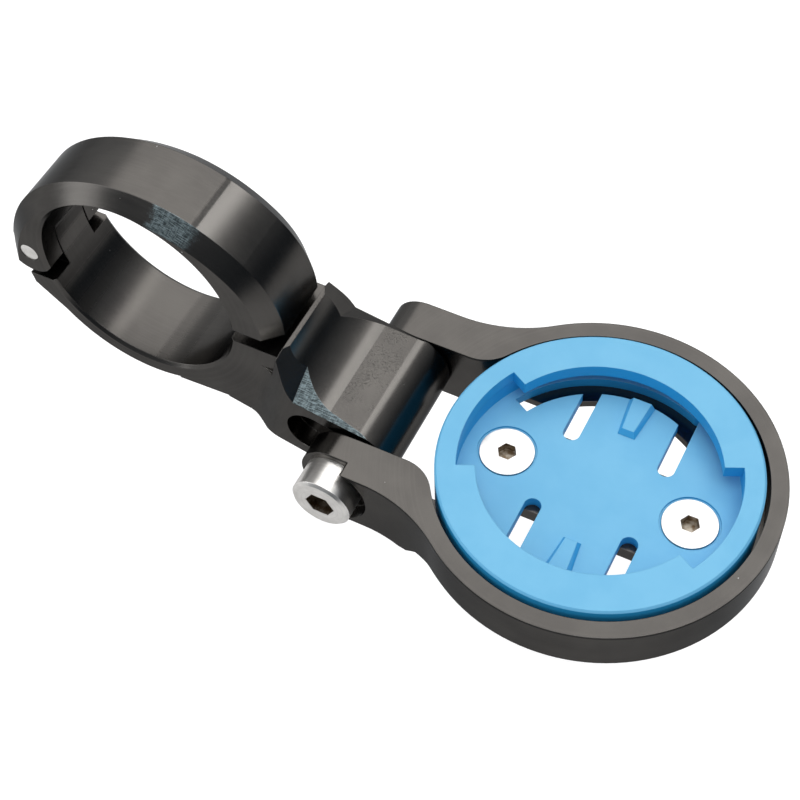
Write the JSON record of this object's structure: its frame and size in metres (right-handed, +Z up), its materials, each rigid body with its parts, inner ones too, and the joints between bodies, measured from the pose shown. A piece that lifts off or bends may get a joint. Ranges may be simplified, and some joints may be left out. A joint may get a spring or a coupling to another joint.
{
  "type": "bike computer mount",
  "caption": "Hinged handlebar clamp with a tilting fork-ended ring that carries a quarter-turn socket for a bike computer.",
  "frame": {"origin": "centre of the handlebar bore", "axes": "+X forward to the ring, +Y along the handlebar, +Z up, square to the ring's top face"},
  "size_m": [0.1192, 0.0524, 0.0415],
  "materials": {
    "black_anodised": "satin black anodised, machined",
    "stainless": "turned stainless steel",
    "blue_plastic": "moulded satin plastic"
  },
  "bodies": {
    "base": {"clamp_base": "black_anodised", "hinge_pin": "stainless", "clamp_screw": "stainless"},
    "cap": {"clamp_cap": "black_anodised"},
    "arm": {"ring_arm": "black_anodised", "insert": "blue_plastic", "insert_screws": "stainless", "pivot_bolt": "stainless"}
  },
  "joints": [
    {"name": "cap_hinge", "type": "hinge", "parent": "base", "child": "cap", "pos_m": [-0.0185, 0, -0.0008], "axis": [0, -1, 0], "range_deg": [0, 95]},
    {"name": "arm_tilt", "type": "hinge", "parent": "base", "child": "arm", "pos_m": [0.0355, 0, -0.0164], "axis": [0, 1, 0], "range_deg": [-75, 35]}
  ]
}
